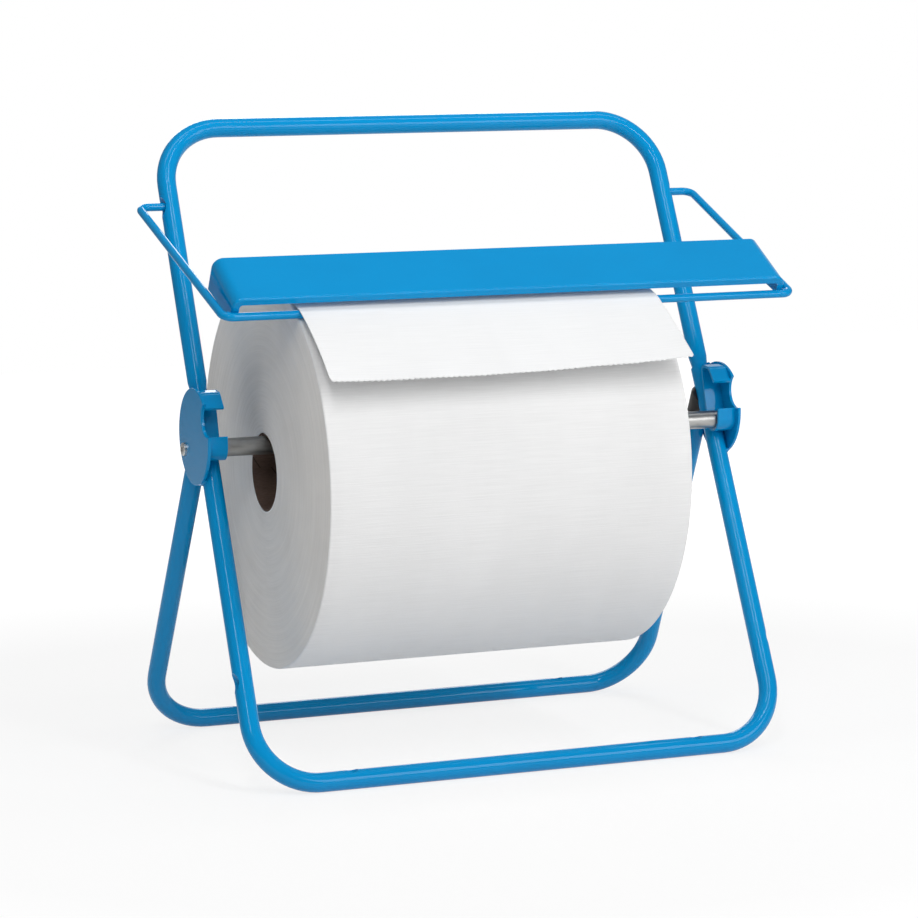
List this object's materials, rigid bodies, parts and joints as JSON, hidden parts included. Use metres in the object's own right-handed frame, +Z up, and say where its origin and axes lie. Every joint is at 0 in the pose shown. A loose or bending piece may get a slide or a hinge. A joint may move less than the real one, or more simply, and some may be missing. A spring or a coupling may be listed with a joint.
{
  "type": "wall roll holder",
  "caption": "Folding tubular stand that holds a wide paper roll on a lift-out spindle under a hinged tear bar; it stands on a floor or bench, or screws to a wall through its bars.",
  "frame": {"origin": "on the floor, at the centre of the four screw holes in the front and rear bars", "axes": "+Z up; +X along the bars to the right-hand end as seen from the front; the front, where the paper comes out, faces -Y"},
  "size_m": [0.6144, 0.4262, 0.633],
  "materials": {
    "blue_coat": "gloss",
    "zinc": "satin",
    "bare_steel": "satin",
    "black_plastic": "satin",
    "wound_paper": "matte",
    "core_board": "matte",
    "sheet_paper": "matte"
  },
  "bodies": {
    "frame": {"front_hoop": "blue_coat", "upper_hoop": "blue_coat", "left_side_plate": "blue_coat", "right_side_plate": "blue_coat", "left_hook_strap": "blue_coat", "right_hook_strap": "blue_coat", "left_pivot_screw": "zinc", "right_pivot_screw": "zinc", "left_pivot_washer": "zinc", "right_pivot_washer": "zinc", "left_pivot_nut": "zinc", "right_pivot_nut": "zinc"},
    "rear_leg": {"rear_hoop": "blue_coat", "left_leg_plug": "black_plastic", "right_leg_plug": "black_plastic"},
    "spindle": {"spindle_tube": "bare_steel"},
    "roll": {"paper_roll": "wound_paper", "roll_core": "core_board"},
    "tear_bar": {"bail_wire": "blue_coat", "tear_plate": "blue_coat", "paper_sheet": "sheet_paper"}
  },
  "joints": [
    {"name": "rear_leg_fold", "type": "hinge", "parent": "frame", "child": "rear_leg", "pos_m": [0, 0.00676, 0.31357], "axis": [-1, 0, 0], "range_deg": [0, 54.3]},
    {"name": "tear_bar_lift", "type": "hinge", "parent": "frame", "child": "tear_bar", "pos_m": [0, 0.08705, 0.54744], "axis": [-1, 0, 0], "range_deg": [0, 120]},
    {"name": "roll_turn", "type": "hinge", "parent": "frame", "child": "roll", "pos_m": [0, -0.04757, 0.29315], "axis": [1, 0, 0], "continuous": true},
    {"name": "spindle_turn", "type": "hinge", "parent": "frame", "child": "spindle", "pos_m": [0, -0.04757, 0.31985], "axis": [1, 0, 0], "continuous": true}
  ]
}
